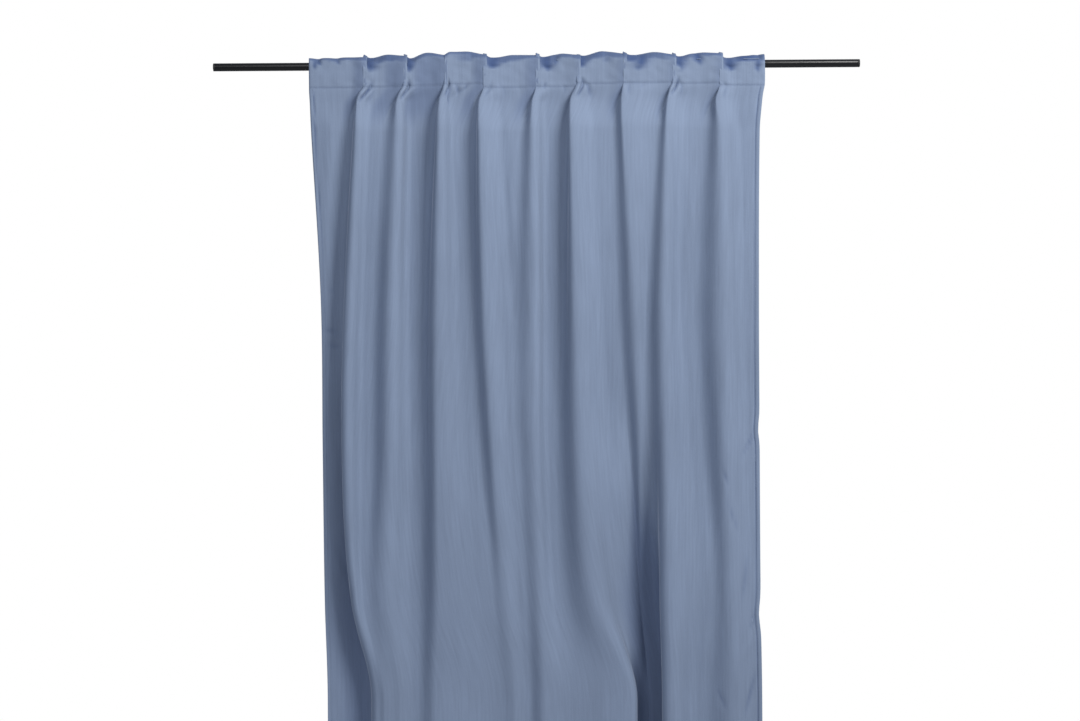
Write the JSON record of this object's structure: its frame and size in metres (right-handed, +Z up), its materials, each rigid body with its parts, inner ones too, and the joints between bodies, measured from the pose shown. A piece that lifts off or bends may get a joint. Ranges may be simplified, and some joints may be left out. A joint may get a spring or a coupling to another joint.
{
  "type": "curtain on a rod",
  "caption": "Velvet curtain panel with hidden back tabs, hanging in soft uneven folds from a plain round rod.",
  "frame": {"origin": "the rod's axis at the middle of its length, where the rod is held up", "axes": "+X along the rod to the right as seen from the room, +Y away from the room, +Z up"},
  "size_m": [1.5506, 0.1031, 2.4096],
  "materials": {
    "velvet": "matte blue-grey velvet with a short pile",
    "rod_paint": "satin black powder coat",
    "rod_plug": "black moulded plastic, fine grain"
  },
  "bodies": {
    "root": {"rod": "rod_paint", "rod_plug_left": "rod_plug", "rod_plug_right": "rod_plug", "curtain_panel": "velvet", "back_tab_01": "velvet", "back_tab_02": "velvet", "back_tab_03": "velvet", "back_tab_04": "velvet", "back_tab_05": "velvet", "back_tab_06": "velvet", "back_tab_07": "velvet", "back_tab_08": "velvet", "back_tab_09": "velvet", "back_tab_10": "velvet"}
  },
  "joints": []
}
